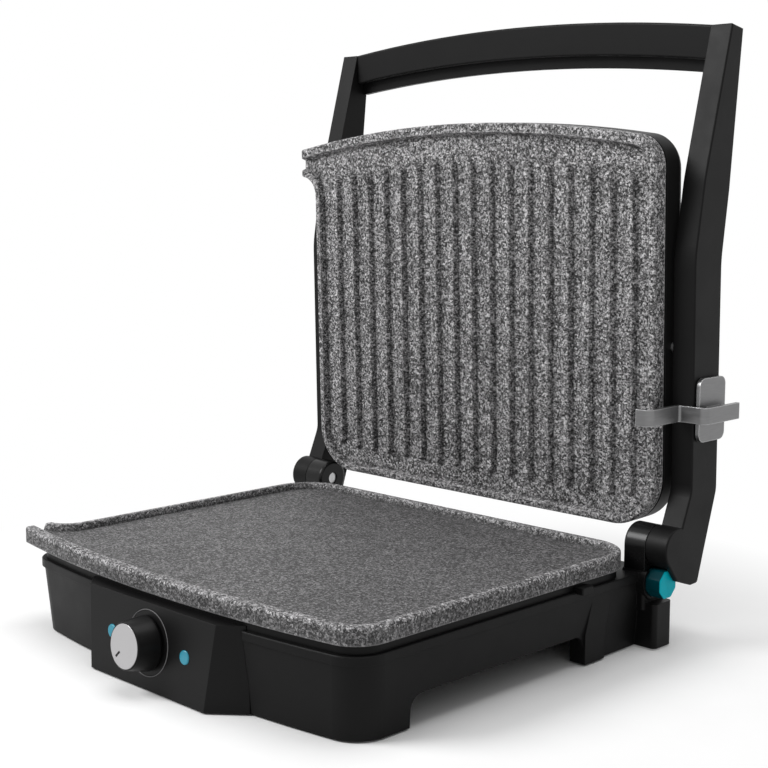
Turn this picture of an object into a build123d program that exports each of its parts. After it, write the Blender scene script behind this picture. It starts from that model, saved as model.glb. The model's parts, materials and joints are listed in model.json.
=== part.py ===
from build123d import *
import os
from math import cos, sin, radians, sqrt, hypot

# Electric contact grill with two plates, standing open
# Millimetres. X is the grill's width, the front looks to -Y, Z is up and the table is Z = 0.
# The origin is on the table, half way between the lower plate's back edge and its arched front.

os.makedirs("parts", exist_ok=True)

# Plates
PLATE_HALF = 150.0
PLATE_BACK = 125.0
PLATE_FRONT = -113.0
ARCH_RISE = 12.5
PLATE_R_FRONT = 20.0
PLATE_R_BACK = 31.0
LEAST_CORNER = 3.0
PLATE_WALL = 10.1
RIM = 4.5
FRONT_RIM = 6.0
BASIN_DEPTH = 4.4
BASIN_DRAFT = 20.0
PLATE_FLOOR = 3.4
PLATE_SKIRT = 4.0
SPOUT_BACK = PLATE_FRONT + 22.2
SPOUT_FLARE = 14.0
SPOUT_TIP = PLATE_HALF + SPOUT_FLARE
SPOUT_NOSE_R = 1.5
RIM_ROUND = 1.6

# Ribs of the upper plate
RIB_COUNT = 17
RIB_SIDE_GAP = 20.0
RIB_PITCH = 2 * (PLATE_HALF - RIB_SIDE_GAP) / (RIB_COUNT - 1)
RIB_BASE = 8.4
RIB_HEIGHT = 3.6
RIB_DRAFT = 24.0
RIB_BACK_GAP = 17.0
RIB_FRONT_GAP = 24.0
RIB_ROUND = 0.9

# Base
FOOT_LIFT = 0.8
DECK_Z = 47.0
PLATE_SEAT_Z = DECK_Z + 5.3
SKIRT_Z = 18.6
HOUSING_INSET = 0.5
HOUSING_DRAFT = 3.2
HOUSING_BACK = PLATE_BACK + 14.0
HOUSING_R_FRONT = 20.5
HOUSING_R_BACK = 10.0
HOUSING_WALL = 2.8
DECK_OPENING_INSET = 15.5
LIP_OUT = 0.8
LIP_CHAMFER = 0.5
LIP_HEIGHT = 5.0
LIP_STOP = 1.5
NOTCH_FRONT = PLATE_FRONT + 39.6
NOTCH_BACK = 72.0
NOTCH_R = 8.0
LEG_INNER = PLATE_HALF - 12.3
REAR_NOTCH_HALF = PLATE_HALF - 30.0
REAR_NOTCH_Z = 5.0
FRONT_BOSS_X = PLATE_HALF - 19.0
FRONT_BOSS_Y = PLATE_FRONT + 15.0
FRONT_BOSS_R = 10.0
BLOCK_INNER = PLATE_HALF - 4.0
BLOCK_OUTER = PLATE_HALF + 11.0
BLOCK_FRONT = HOUSING_BACK - 14.0
BLOCK_BACK = HOUSING_BACK + 4.0
BLOCK_TOP = 28.5
BLOCK_R = 3.0
FLARE_DEPTH = 2.6
FLARE_SEAT = 1.0
FLARE_SWEEP_R = 90.0
FLARE_BOTTOM_Y = HOUSING_BACK - 48.5
FLARE_TOP_Y = HOUSING_BACK - 38.3
FLARE_TOP_Z = DECK_Z - 3.5

# Frame, pan and element under each plate
FRAME_INSET = 2.5
FRAME_WIDTH = 5.0
FRAME_GAP = 0.2
PAN_INSET = 16.0
PAN_FLANGE_INSET = 8.0
PAN_DEPTH = 9.0
PAN_SHEET = 0.8
ELEMENT_R = 3.3
ELEMENT_GAP = 0.2
ELEMENT_HALF = PLATE_HALF - 45.0
ELEMENT_LEG = 34.0
STUD_X = PLATE_HALF - 32.0
STUD_BACK = PLATE_BACK - 41.0
STUD_FRONT = PLATE_FRONT + 39.0
STUD_R = 5.0
SCREW_R = 1.8
SCREW_HEAD_R = 3.6
SCREW_HEAD_H = 2.0
SCREW_LENGTH = 10.0
THREAD_GAP = 0.05
BODY_GAP = 0.3

# Bottom cover and feet
COVER_SHEET = 2.5
COVER_GAP = 0.4
BOSS_R = 4.5
BOSS_X = PLATE_HALF - 10.4
BOSS_BACK = 58.0
BOSS_FRONT = -58.0
BRIDGE_LENGTH = 20.0
VENT_COUNT = 7
VENT_LENGTH = 60.0
VENT_WIDTH = 4.0
VENT_PITCH = 12.0
PAD_R = 8.0
PAD_HEIGHT = 3.0
REAR_PAD_WIDTH = 5.6
REAR_PAD_LENGTH = 40.0
REAR_PAD_Y = HOUSING_BACK - 35.0

# Control panel
PANEL_FOOT_Y = PLATE_FRONT - 23.0
PANEL_TOP_Y = PLATE_FRONT - 18.3
PANEL_TOP_Z = DECK_Z + 2.4
PANEL_FOOT_HALF = 53.0
PANEL_TOP_HALF = 59.0
PANEL_BEVEL_HALF = 72.0
PANEL_BEVEL_Y = PLATE_FRONT - 6.6
PANEL_BACK_Y = PLATE_FRONT + 2.5
PANEL_WALL = 2.6
PANEL_GAP = 0.15
KNOB_Z = 27.0
KNOB_R_BASE = 16.0
KNOB_R_FACE = 13.4
KNOB_LENGTH = 16.0
KNOB_ROUND = 1.6
KNOB_STANDOFF = 0.6
KNOB_WALL = 2.6
DISC_R = 12.6
DISC_RECESS = 0.7
DISC_GAP = 0.15
MARK_LENGTH = 5.0
MARK_WIDTH = 1.4
MARK_OUT = 7.6
MARK_DEPTH = 0.35
MARK_ANGLE = 225.0
SHAFT_R = 3.0
SHAFT_GAP = 0.06
KNOB_BORE_DEPTH = 10.0
THERMOSTAT_SIZE = 30.0
THERMOSTAT_DEPTH = 13.0
COLLAR_R = 5.0
COLLAR_GAP = 0.1
DIAL_RING_R = 18.5
DIAL_RING_WIDTH = 0.7
DIAL_RING_DEPTH = 0.5
LAMP_X = 34.0
LAMP_Z = 26.5
LAMP_R = 4.0
LAMP_PROUD = 0.7
LAMP_DEPTH = 6.0
LAMP_GAP = 0.08
LAMP_COLLAR = 1.2
TERMINAL_SIZE = (40.0, 14.0, 16.0)
TERMINAL_AT = (-60.0, PLATE_BACK - 7.0)
GLAND_X = -84.0
GLAND_Z = 13.0
GLAND_R = 5.2
GLAND_FLANGE_R = 7.6
GLAND_BORE_R = 3.4
GLAND_FLANGE_T = 2.0
GLAND_OUT = 11.0

# Hinge
HINGE_Y = PLATE_BACK + 11.1
HINGE_Z = PLATE_SEAT_Z + 10.5
BARREL_R = 12.8
KNUCKLE_INNER = PLATE_HALF - 12.5
KNUCKLE_OUTER = PLATE_HALF + 3.5
KNUCKLE_FOOT_Z = DECK_Z + 1.6
KNUCKLE_BACK = HINGE_Y + 8.9
KNUCKLE_ROUND = 2.0
TOWER_FOOT_Z = 24.0
PIN_R = 4.0
PIN_GAP = 0.05
PIN_INSET = 1.0
PIN_COVER = 4.0
OPEN_ANGLE = 88.5

# Arms, their outline's points as Y and Z from the hinge axis
ARM_INNER = KNUCKLE_OUTER + 0.5
ARM_OUTER = ARM_INNER + 15.0
PIN_REACH = ARM_OUTER - PIN_COVER
ARM_EDGE = 1.0
ARM_SKIN = 3.0
ARM_TOP_FRONT = (42.2, 313.8)
ARM_TOP_BACK = (54.3, 311.6)
ARM_MID_FRONT = (17.5, 221.7)
ARM_KINK_FRONT = (9.7, 175.2)
ARM_LOW_FRONT = (12.7, 33.2)
ARM_NECK_FRONT = (3.9, 12.2)
ARM_CHIN = (-8.9, -9.2)
ARM_TOE = (-0.6, -20.0)
ARM_HEEL_FRONT = (14.9, -25.2)
ARM_HEEL_BACK = (21.9, -24.9)
ARM_CALF = (28.0, -6.0)
ARM_LOW_BACK = (40.3, 31.2)
ARM_KINK_BACK = (38.3, 173.2)
ARM_MID_BACK = (44.5, 215.2)
ARM_BEND_R = 70.0
ARM_NECK_R = 16.0
ARM_HEEL_R = 2.5

# Release button
BUTTON_Y = HINGE_Y - 4.1
BUTTON_Z = HINGE_Z - 21.8
GUIDE_FACE_X = ARM_INNER + 1.0
BUTTON_R = 8.6
BUTTON_SIDES = 8
BUTTON_CORNER = 2.2
BUTTON_EDGE = 0.8
BUTTON_SEAT = 1.0
BUTTON_FACE_X = GUIDE_FACE_X + 10.0
BUTTON_TRAVEL = 4.0
BUTTON_STEM_R = 5.8
BUTTON_STEM_LENGTH = 10.0
BUTTON_GAP = 0.3
GUIDE_R = 11.0
SPRING_R = 3.6
SPRING_WIRE_R = 0.45
SPRING_TURNS = 5
SLOT_START = -134.0
SLOT_END = 22.0
SLOT_STEPS = 6

# Handle
HANDLE_HALF = ARM_INNER - 0.1
HANDLE_FRONT_Y = HINGE_Y + 42.3
HANDLE_SPLIT_Y = HANDLE_FRONT_Y + 6.6
HANDLE_BACK_Y = HANDLE_SPLIT_Y + 6.0
HANDLE_SEAM = 0.2
HANDLE_TOP_END = HINGE_Z + 314.0
HANDLE_TOP_MID = HANDLE_TOP_END + 9.4
HANDLE_HEIGHT = 21.0
HANDLE_SKIRT = 7.4
HANDLE_REAR_DROP = 0.8
HANDLE_EDGE = 1.4
HANDLE_SCREW_END = HANDLE_HALF - 33.9
HANDLE_SCREW_COUNT = 4
HANDLE_SCREW_H = 10.0

# Lid cover
LID_GAP = 0.5
LID_SHIFT = 3.1
COVER_HALF = PLATE_HALF + 1.0
COVER_R_BACK = PLATE_R_BACK + 1.0
COVER_R_FRONT = PLATE_R_FRONT + 1.0
COVER_WALL_TOP = PLATE_WALL + 13.4
COVER_DOME = ((0.0, 0.0), (4.5, 2.2), (8.5, 8.0), (11.5, 20.0), (13.0, 40.0))
COVER_SHELL = 2.6
PIVOT_BACK = 112.0
PIVOT_UP = 19.6
PIVOT_R = 3.5
PIVOT_GAP = 0.06
PIVOT_BOSS_R = 7.5
PIVOT_BOSS_DEPTH = 6.0
PIVOT_SUNK = 9.0

# Latch
STRIP_T = 2.5
STRIP_LOW = HINGE_Z + 76.2
STRIP_HIGH = STRIP_LOW + 10.0
GRIP_X = ARM_OUTER + 11.0
GRIP_BACK = HINGE_Y + 45.4
GRIP_FRONT = HINGE_Y + 8.6
HOOK_X = ARM_INNER + 7.2
HOOK_TIP_Y = HINGE_Y - 21.9
HOOK_TIP_X = ARM_INNER - 3.1
STRIP_BEND = 3.0
PAD_X = ARM_OUTER + 3.2
PAD_T = 2.6
PAD_FRONT = HINGE_Y + 13.6
PAD_BACK = HINGE_Y + 41.3
PAD_LOW = STRIP_LOW - 12.5
PAD_HIGH = STRIP_HIGH + 16.5
PAD_CORNER = 5.0
SPACER_FRONT = HINGE_Y + 20.9
SPACER_BACK = HINGE_Y + 34.9
SPACER_LOW = STRIP_LOW + 1.0
SPACER_HIGH = STRIP_HIGH - 1.0
STEM_HALF_Y = 4.0
STEM_HALF_Z = 6.0
STEM_Z = STRIP_LOW + 7.0
STEM_INNER_X = ARM_INNER + 3.5
KEEPER_T = 2.4
KEEPER_MORE = 3.0
LATCH_TRAVEL = 10.0
LATCH_SLOT_GAP = 0.35
CATCH_FRONT = HINGE_Y - 74.6
CATCH_BACK = HINGE_Y - 64.1
CATCH_LOW = DECK_Z - 0.9
CATCH_HIGH = DECK_Z + 3.0
CATCH_X = PLATE_HALF + 4.5
CATCH_SEAT_X = PLATE_HALF - 2.2
CATCH_ROUND = 1.0

SIDES = (-1, 1)


def arched_face(half, back, front, r_front, r_back, rise=ARCH_RISE):
    """Flat face with straight back and sides and an arched front."""
    edges = [
        Line((-half, back), (half, back)),
        Line((half, back), (half, front)),
        ThreePointArc((half, front), (0, front - rise), (-half, front)),
        Line((-half, front), (-half, back)),
    ]
    face = make_face(edges)
    rows = face.vertices().group_by(Axis.Y)
    face = fillet(rows[-1], r_back)
    return fillet(face.vertices().group_by(Axis.Y)[0], r_front)


def inset_plate_face(inset):
    """The plate's plain outline, drawn in by inset."""
    return arched_face(
        PLATE_HALF - inset,
        PLATE_BACK - inset,
        PLATE_FRONT + inset,
        max(PLATE_R_FRONT - inset, LEAST_CORNER),
        max(PLATE_R_BACK - inset, LEAST_CORNER),
    )


def arch_y(x, front):
    """Y of the arched front at x."""
    radius = (PLATE_HALF ** 2 + ARCH_RISE ** 2) / (2 * ARCH_RISE)
    return front - ARCH_RISE + radius - sqrt(radius ** 2 - x ** 2)


def spout_face(inset, front_inset, tip, nose_r):
    """Plate outline with the pouring spout at its front left corner."""
    half = PLATE_HALF - inset
    back = PLATE_BACK - inset
    front = PLATE_FRONT + front_inset
    flare = SPOUT_FLARE + inset
    centre = (-SPOUT_TIP, SPOUT_BACK + SPOUT_FLARE)
    diagonal = flare * cos(radians(45))
    neck = (centre[0], centre[1] - flare)
    edges = [
        Line((half, back), (half, arch_y(half, front))),
        ThreePointArc((half, arch_y(half, front)), (0, front - ARCH_RISE), (-tip, arch_y(tip, front))),
        Line((-tip, arch_y(tip, front)), (-tip, neck[1])),
        ThreePointArc(neck, (centre[0] + diagonal, centre[1] - diagonal), (-half, centre[1])),
        Line((-half, centre[1]), (-half, back)),
        Line((-half, back), (half, back)),
    ]
    if tip > SPOUT_TIP:
        edges.append(Line((-tip, neck[1]), neck))
    face = make_face(edges)
    back_corners = [v for v in face.vertices() if v.Y > back - 1 and abs(v.X) > half - 1]
    face = fillet(back_corners, PLATE_R_BACK - inset)
    front_corner = [v for v in face.vertices() if v.X > half - 1 and v.Y < 0]
    face = fillet(front_corner, PLATE_R_FRONT - inset)
    if nose_r:
        nose = [v for v in face.vertices() if v.X < -tip + 1]
        face = fillet(nose, nose_r)
    return face


def plate_blank():
    """Cast plate, cooking side up, rim top at Z = 0."""
    body = extrude(spout_face(0, 0, SPOUT_TIP, SPOUT_NOSE_R), -PLATE_WALL)
    rim_edges = body.faces().sort_by(Axis.Z)[-1].outer_wire().edges()
    body = fillet(rim_edges, RIM_ROUND)
    basin = spout_face(RIM, FRONT_RIM, SPOUT_TIP + RIM, 0)
    body -= extrude(basin, -BASIN_DEPTH, taper=BASIN_DRAFT)
    hollow_depth = PLATE_WALL - BASIN_DEPTH - PLATE_FLOOR
    hollow = extrude(inset_plate_face(PLATE_SKIRT), hollow_depth)
    body -= Pos(0, 0, -PLATE_WALL) * hollow
    return body


def stud_places():
    return [(side * STUD_X, y) for side in SIDES for y in (STUD_BACK, STUD_FRONT)]


def studded(body):
    """Plate with the four screw studs cast on its underside."""
    under = -BASIN_DEPTH - PLATE_FLOOR
    length = PLATE_WALL + under + PAN_DEPTH - PAN_SHEET
    for x, y in stud_places():
        body += Pos(x, y, under - length / 2) * Cylinder(STUD_R, length)
        hole_depth = SCREW_LENGTH - PAN_SHEET + BODY_GAP
        body -= Pos(x, y, under - length + hole_depth / 2) * Cylinder(SCREW_R + THREAD_GAP, hole_depth)
    return body


def ribs():
    """Raised cooking ribs, standing up from Z = 0 along Y."""
    group = []
    middle = (RIB_COUNT - 1) / 2
    for i in range(RIB_COUNT):
        x = (i - middle) * RIB_PITCH
        front = arch_y(x, PLATE_FRONT + RIB_FRONT_GAP)
        back = PLATE_BACK - RIB_BACK_GAP
        over = abs(x) - (PLATE_HALF - PLATE_R_BACK)
        if over > 0:
            back -= PLATE_R_BACK - sqrt(PLATE_R_BACK ** 2 - over ** 2)
        length = back - front
        foot = Rot(0, 0, 90) * SlotOverall(length, RIB_BASE)
        rib = extrude(foot, RIB_HEIGHT, taper=RIB_DRAFT)
        rib = fillet(rib.faces().sort_by(Axis.Z)[-1].edges(), RIB_ROUND)
        group.append(Pos(x, (back + front) / 2, 0) * rib)
    return group


def to_closed(shape):
    """Plate-frame shape turned cooking side down, at the lid's closed place."""
    flipped = mirror(shape, Plane.XY)
    return Pos(0, LID_SHIFT, PLATE_SEAT_Z + PLATE_WALL + LID_GAP) * flipped


def to_open(shape):
    """Closed-pose lid shape swung to the open rest pose about the hinge."""
    return Pos(0, HINGE_Y, HINGE_Z) * Rot(-OPEN_ANGLE, 0, 0) * Pos(0, -HINGE_Y, -HINGE_Z) * shape


def lower_plate():
    return Pos(0, 0, PLATE_SEAT_Z + PLATE_WALL) * studded(plate_blank())


def upper_plate():
    body = studded(plate_blank())
    for rib in ribs():
        body += Pos(0, 0, -BASIN_DEPTH) * rib
    return to_open(to_closed(body))


def pan():
    """Reflector pan, flange top face at Z = 0, its hollow upward."""
    flange = extrude(inset_plate_face(PAN_FLANGE_INSET), -PAN_SHEET)
    body = flange + extrude(inset_plate_face(PAN_INSET), -PAN_DEPTH)
    body -= extrude(inset_plate_face(PAN_INSET + PAN_SHEET), -PAN_DEPTH + PAN_SHEET)
    for x, y in stud_places():
        body -= Pos(x, y, -PAN_DEPTH) * Cylinder(SCREW_R + BODY_GAP, 4 * PAN_SHEET)
    return body


def element():
    """Tubular heating element, top of its tube at Z = 0."""
    back = PLATE_BACK - PAN_INSET - ELEMENT_LEG
    front = PLATE_FRONT + PAN_INSET + ELEMENT_LEG / 2
    route = FilletPolyline(
        (-ELEMENT_LEG / 2, back - ELEMENT_LEG),
        (-ELEMENT_LEG / 2, back),
        (-ELEMENT_HALF, back),
        (-ELEMENT_HALF, front),
        (ELEMENT_HALF, front),
        (ELEMENT_HALF, back),
        (ELEMENT_LEG / 2, back),
        (ELEMENT_LEG / 2, back - ELEMENT_LEG),
        radius=ELEMENT_LEG / 2 - 1,
    )
    tube = sweep(Plane(origin=route @ 0, z_dir=route % 0) * Circle(ELEMENT_R), path=route)
    return Pos(0, 0, -ELEMENT_R) * tube


def plate_screws():
    """Four pan-head screws, seats of the heads at Z = 0, threads upward."""
    group = []
    for x, y in stud_places():
        screw = Pos(0, 0, SCREW_LENGTH / 2) * Cylinder(SCREW_R, SCREW_LENGTH)
        screw += Pos(0, 0, -SCREW_HEAD_H / 2) * Cylinder(SCREW_HEAD_R, SCREW_HEAD_H)
        group.append(Pos(x, y, 0) * screw)
    return Compound(group)


def frame_ring():
    """Black frame between a plate and what carries it, from Z = 0 up."""
    height = PLATE_SEAT_Z - DECK_Z - FRAME_GAP
    ring = extrude(inset_plate_face(FRAME_INSET), height)
    return ring - extrude(inset_plate_face(FRAME_INSET + FRAME_WIDTH), height)


def plate_underside_z():
    return PLATE_SEAT_Z + PLATE_WALL - BASIN_DEPTH - PLATE_FLOOR


def lower_heating():
    top = plate_underside_z() - ELEMENT_GAP
    seat = DECK_Z + PAN_SHEET
    return {
        "lower_reflector": Pos(0, 0, seat) * pan(),
        "lower_heating_element": Pos(0, 0, top) * element(),
        "lower_plate_screws": Pos(0, 0, seat - PAN_DEPTH) * plate_screws(),
        "lower_plate_frame": Pos(0, 0, DECK_Z) * frame_ring(),
    }


def upper_heating():
    rim = PLATE_SEAT_Z + PLATE_WALL
    drop = rim - (DECK_Z + PAN_SHEET)
    under = BASIN_DEPTH + PLATE_FLOOR + ELEMENT_GAP
    return {
        "upper_reflector": to_open(to_closed(Pos(0, 0, -drop) * pan())),
        "upper_heating_element": to_open(to_closed(Pos(0, 0, -under) * element())),
        "upper_plate_screws": to_open(to_closed(Pos(0, 0, -drop - PAN_DEPTH) * plate_screws())),
    }


def housing_face(inset, r_trim=0.0):
    return arched_face(
        PLATE_HALF - HOUSING_INSET - inset,
        HOUSING_BACK - inset,
        PLATE_FRONT + HOUSING_INSET + inset,
        HOUSING_R_FRONT - r_trim,
        HOUSING_R_BACK - r_trim,
    )


def drafted(inset, z_low, z_high):
    """Housing-shaped solid between two heights, following the draft of the walls."""
    span = DECK_Z - FOOT_LIFT
    low = inset + HOUSING_DRAFT * (DECK_Z - z_low) / span
    high = inset + HOUSING_DRAFT * (DECK_Z - z_high) / span
    trim = min(inset, HOUSING_WALL)
    sections = [Pos(0, 0, z_low) * housing_face(low, trim), Pos(0, 0, z_high) * housing_face(high, trim)]
    return loft(sections, ruled=True)


def box_between(x0, x1, y0, y1, z0, z1):
    return Pos((x0 + x1) / 2, (y0 + y1) / 2, (z0 + z1) / 2) * Box(x1 - x0, y1 - y0, z1 - z0)


def panel_solid(grow):
    """Full outer shape of the control panel, grown by grow for the opening it sits in."""
    def section(z, front_y, front_half):
        points = [
            (-PANEL_BEVEL_HALF - grow, PANEL_BACK_Y),
            (-PANEL_BEVEL_HALF - grow, PANEL_BEVEL_Y),
            (-front_half - grow, front_y - grow),
            (front_half + grow, front_y - grow),
            (PANEL_BEVEL_HALF + grow, PANEL_BEVEL_Y),
            (PANEL_BEVEL_HALF + grow, PANEL_BACK_Y),
        ]
        return Pos(0, 0, z) * make_face(Polyline(*points, close=True))

    low = section(FOOT_LIFT, PANEL_FOOT_Y, PANEL_FOOT_HALF)
    high = section(PANEL_TOP_Z, PANEL_TOP_Y, PANEL_TOP_HALF)
    return loft([low, high], ruled=True)


def panel_hollow():
    """Inside of the control panel: its outer shape drawn in by the wall."""
    def section(z, front_y, front_half):
        half = PANEL_BEVEL_HALF - PANEL_WALL
        points = [
            (-half, PANEL_BACK_Y - 1),
            (-half, PANEL_BEVEL_Y + PANEL_WALL / 2),
            (-front_half + PANEL_WALL / 2, front_y + PANEL_WALL),
            (front_half - PANEL_WALL / 2, front_y + PANEL_WALL),
            (half, PANEL_BEVEL_Y + PANEL_WALL / 2),
            (half, PANEL_BACK_Y - 1),
        ]
        return Pos(0, 0, z) * make_face(Polyline(*points, close=True))

    low = section(FOOT_LIFT - 1, PANEL_FOOT_Y, PANEL_FOOT_HALF)
    high = section(PANEL_TOP_Z - PANEL_WALL, PANEL_TOP_Y, PANEL_TOP_HALF)
    return loft([low, high], ruled=True)


def panel_plane(x, z):
    """Plane on the panel's face at x and z, its normal pointing out."""
    lean = (PANEL_TOP_Y - PANEL_FOOT_Y) / (PANEL_TOP_Z - FOOT_LIFT)
    y = PANEL_FOOT_Y + lean * (z - FOOT_LIFT)
    return Plane(origin=(x, y, z), x_dir=(1, 0, 0), z_dir=(0, -1, lean))


def notch_cutter(y0, y1, half):
    """Cutter under the side skirts, with rounded top corners."""
    block = box_between(-half, half, y0, y1, -NOTCH_R, SKIRT_Z)
    top = block.faces().sort_by(Axis.Z)[-1].edges().filter_by(Axis.X)
    return fillet(top, NOTCH_R)


def side_flare(side):
    """Raised pad on a rear leg, with the sweeping rear edge."""
    x = PLATE_HALF - HOUSING_INSET - HOUSING_DRAFT
    edges = [
        Line((NOTCH_BACK, FOOT_LIFT), (FLARE_BOTTOM_Y, FOOT_LIFT)),
        RadiusArc((FLARE_BOTTOM_Y, FOOT_LIFT), (FLARE_TOP_Y, FLARE_TOP_Z), FLARE_SWEEP_R),
        Line((FLARE_TOP_Y, FLARE_TOP_Z), (NOTCH_BACK + NOTCH_R, FLARE_TOP_Z)),
        Line((NOTCH_BACK + NOTCH_R, FLARE_TOP_Z), (NOTCH_BACK, SKIRT_Z)),
        Line((NOTCH_BACK, SKIRT_Z), (NOTCH_BACK, FOOT_LIFT)),
    ]
    plane = Plane(origin=(x - FLARE_SEAT, 0, 0), x_dir=(0, 1, 0), z_dir=(1, 0, 0))
    pad = extrude(plane * make_face(edges), FLARE_SEAT + FLARE_DEPTH)
    return pad if side > 0 else mirror(pad, Plane.YZ)


def mirrored_pair(shape):
    return [shape, mirror(shape, Plane.YZ)]


def bottom_boss_places():
    return [(side * BOSS_X, y) for side in SIDES for y in (BOSS_BACK, BOSS_FRONT)]


def rear_corner():
    """Right rear leg, hinge block, bridge and tower, as separate solids."""
    leg_outer = PLATE_HALF - HOUSING_INSET - HOUSING_DRAFT - BODY_GAP
    leg_back = HOUSING_BACK - HOUSING_R_BACK
    leg = box_between(LEG_INNER, leg_outer, NOTCH_BACK, leg_back, FOOT_LIFT, SKIRT_Z)
    block = box_between(BLOCK_INNER, BLOCK_OUTER, BLOCK_FRONT, BLOCK_BACK, FOOT_LIFT, BLOCK_TOP)
    block = fillet(block.edges().filter_by(Axis.Z).group_by(Axis.X)[-1], BLOCK_R)
    bridge_front = BLOCK_FRONT - BRIDGE_LENGTH
    bridge = box_between(LEG_INNER, BLOCK_INNER, bridge_front, BLOCK_BACK, FOOT_LIFT, BLOCK_TOP)
    tower_front = HINGE_Y - BARREL_R
    tower = box_between(
        KNUCKLE_INNER, KNUCKLE_OUTER, tower_front, KNUCKLE_BACK, TOWER_FOOT_Z, KNUCKLE_FOOT_Z
    )
    tower = fillet(tower.edges().filter_by(Axis.Z), KNUCKLE_ROUND)
    return [leg, block, bridge, tower]


def button_guide():
    """Round collar on the right tower that the release button slides in."""
    length = GUIDE_FACE_X - KNUCKLE_INNER
    place = Pos(GUIDE_FACE_X - length / 2, BUTTON_Y, BUTTON_Z) * Rot(0, 90, 0)
    guide = place * Cylinder(GUIDE_R, length)
    return guide & box_between(0, GUIDE_FACE_X, 0, KNUCKLE_BACK, 0, KNUCKLE_FOOT_Z)


def tub():
    """Thin drafted tub with its lip, its deck opening and the notches under its walls."""
    body = drafted(0, FOOT_LIFT, DECK_Z)
    lip = Pos(0, 0, DECK_Z - LIP_HEIGHT) * extrude(housing_face(-LIP_OUT), LIP_HEIGHT)
    lip = chamfer(lip.faces().sort_by(Axis.Z)[-1].edges(), LIP_CHAMFER)
    lip_end = PANEL_BEVEL_HALF - LIP_STOP
    body += lip - box_between(-lip_end, lip_end, PANEL_FOOT_Y, PANEL_BACK_Y, 0, PANEL_TOP_Z)
    body -= drafted(HOUSING_WALL, 0, DECK_Z - HOUSING_WALL)
    opening = extrude(inset_plate_face(DECK_OPENING_INSET), 3 * HOUSING_WALL)
    body -= Pos(0, 0, DECK_Z - 2 * HOUSING_WALL) * opening
    body -= notch_cutter(NOTCH_FRONT, NOTCH_BACK, BLOCK_OUTER)
    notch_depth = 2 * HOUSING_R_BACK
    notch_front = HOUSING_BACK - notch_depth
    notch_back = HOUSING_BACK + notch_depth
    return body - box_between(
        -REAR_NOTCH_HALF, REAR_NOTCH_HALF, notch_front, notch_back, -notch_depth, REAR_NOTCH_Z
    )


def base_housing():
    """Moulded tub with front feet, rear legs, hinge towers and the button guide."""
    body = tub()
    boss_height = SKIRT_Z - FOOT_LIFT
    boss = Pos(FRONT_BOSS_X, FRONT_BOSS_Y, FOOT_LIFT + boss_height / 2) * Cylinder(FRONT_BOSS_R, boss_height)
    for piece in rear_corner() + [boss]:
        for half in mirrored_pair(piece):
            body += half
    for side in SIDES:
        body += side_flare(side)
    body += button_guide()
    for x, y in bottom_boss_places():
        z_low = SKIRT_Z + COVER_SHEET + COVER_GAP
        height = DECK_Z - HOUSING_WALL / 2 - z_low
        body += Pos(x, y, z_low + height / 2) * Cylinder(BOSS_R, height)
        body -= Pos(x, y, z_low) * Cylinder(SCREW_R + THREAD_GAP, 2 * SCREW_LENGTH)
    body -= panel_solid(PANEL_GAP)
    body -= button_cavity()
    body -= pad_pockets()
    gland = Pos(GLAND_X, HOUSING_BACK, GLAND_Z) * Rot(90, 0, 0)
    body -= gland * Cylinder(GLAND_R + THREAD_GAP, 4 * HOUSING_WALL)
    return body - catch_tang(THREAD_GAP)


def pad_pockets():
    depth = PAD_HEIGHT - FOOT_LIFT
    pockets = []
    for side in SIDES:
        z = FOOT_LIFT + depth / 2
        pockets.append(Pos(side * FRONT_BOSS_X, FRONT_BOSS_Y, z) * Cylinder(PAD_R + THREAD_GAP, depth))
        width = REAR_PAD_WIDTH + 2 * THREAD_GAP
        length = REAR_PAD_LENGTH + 2 * THREAD_GAP
        pockets.append(Pos(side * rear_pad_x(), REAR_PAD_Y, z) * Box(width, length, depth))
    return pockets


def rear_pad_x():
    return (LEG_INNER + PLATE_HALF - HOUSING_INSET - HOUSING_DRAFT) / 2


def feet():
    pad = Pos(0, 0, PAD_HEIGHT / 2) * Cylinder(PAD_R, PAD_HEIGHT)
    front = [Pos(side * FRONT_BOSS_X, FRONT_BOSS_Y, 0) * pad for side in SIDES]
    strip = Pos(0, 0, PAD_HEIGHT / 2) * Box(REAR_PAD_WIDTH, REAR_PAD_LENGTH, PAD_HEIGHT)
    rear = [Pos(side * rear_pad_x(), REAR_PAD_Y, 0) * strip for side in SIDES]
    return {"rubber_feet_front": Compound(front), "rubber_feet_rear": Compound(rear)}


def bottom_cover():
    """Flat cover under the tub, with vent slots and screw holes."""
    z_low = SKIRT_Z + COVER_GAP / 2
    sheet = drafted(HOUSING_WALL + COVER_GAP, z_low, z_low + COVER_SHEET)
    sheet -= panel_solid(PANEL_GAP)
    corner_y = BLOCK_FRONT - BRIDGE_LENGTH - COVER_GAP
    corner = box_between(LEG_INNER - COVER_GAP, PLATE_HALF, corner_y, BLOCK_BACK, 0, DECK_Z)
    for half in mirrored_pair(corner):
        sheet -= half
    for i in range(VENT_COUNT):
        y = (i - (VENT_COUNT - 1) / 2) * VENT_PITCH
        sheet -= Pos(0, y, z_low) * extrude(SlotOverall(VENT_LENGTH, VENT_WIDTH), 3 * COVER_SHEET, both=True)
    for x, y in bottom_boss_places():
        sheet -= Pos(x, y, z_low) * Cylinder(SCREW_R + BODY_GAP, 4 * COVER_SHEET)
    screws = []
    for x, y in bottom_boss_places():
        screw = Pos(x, y, z_low + SCREW_LENGTH / 2) * Cylinder(SCREW_R, SCREW_LENGTH)
        screw += Pos(x, y, z_low - SCREW_HEAD_H / 2) * Cylinder(SCREW_HEAD_R, SCREW_HEAD_H)
        screws.append(screw)
    return {"base_bottom_cover": sheet, "bottom_cover_screws": Compound(screws)}


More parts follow.
